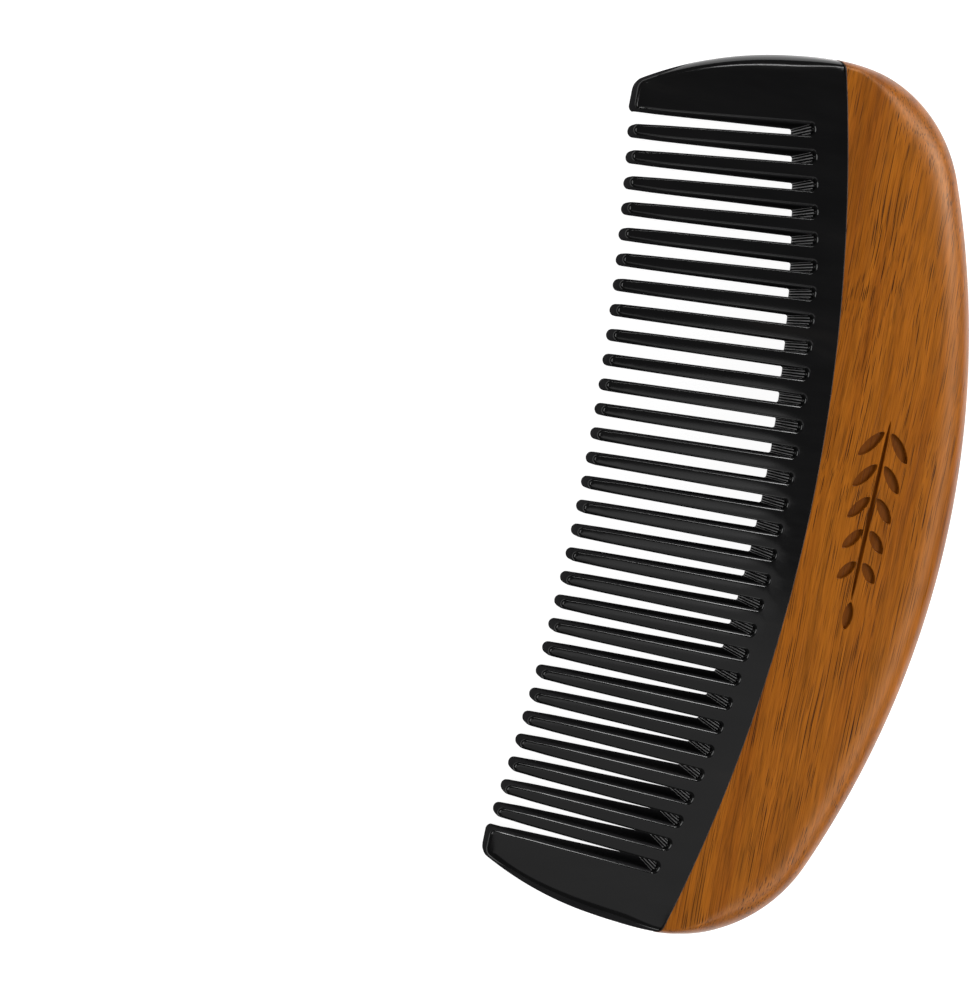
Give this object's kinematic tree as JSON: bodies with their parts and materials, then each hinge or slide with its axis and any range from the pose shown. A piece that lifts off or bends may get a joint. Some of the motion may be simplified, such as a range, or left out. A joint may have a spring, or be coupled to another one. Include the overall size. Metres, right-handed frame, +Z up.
{
  "type": "beard comb",
  "caption": "Pocket beard comb with a crescent wooden spine glued to a dark horn tooth plate with fanned teeth and wide end guards.",
  "frame": {"origin": "centre of the bounding box, on the plane that the comb lies on", "axes": "+X along the comb's length, +Y towards the wooden spine with the teeth pointing to -Y, +Z up out of the front face"},
  "size_m": [0.11, 0.055, 0.0066],
  "materials": {
    "spine_wood": "oiled reddish-brown hardwood with fine dark pores, satin",
    "horn": "black horn or horn-like resin, satin polish",
    "adhesive": "cured dark brown epoxy, satin"
  },
  "bodies": {
    "root": {"wooden_spine": "spine_wood", "tooth_plate": "horn", "teeth": "horn", "adhesive_film": "adhesive"}
  },
  "joints": []
}
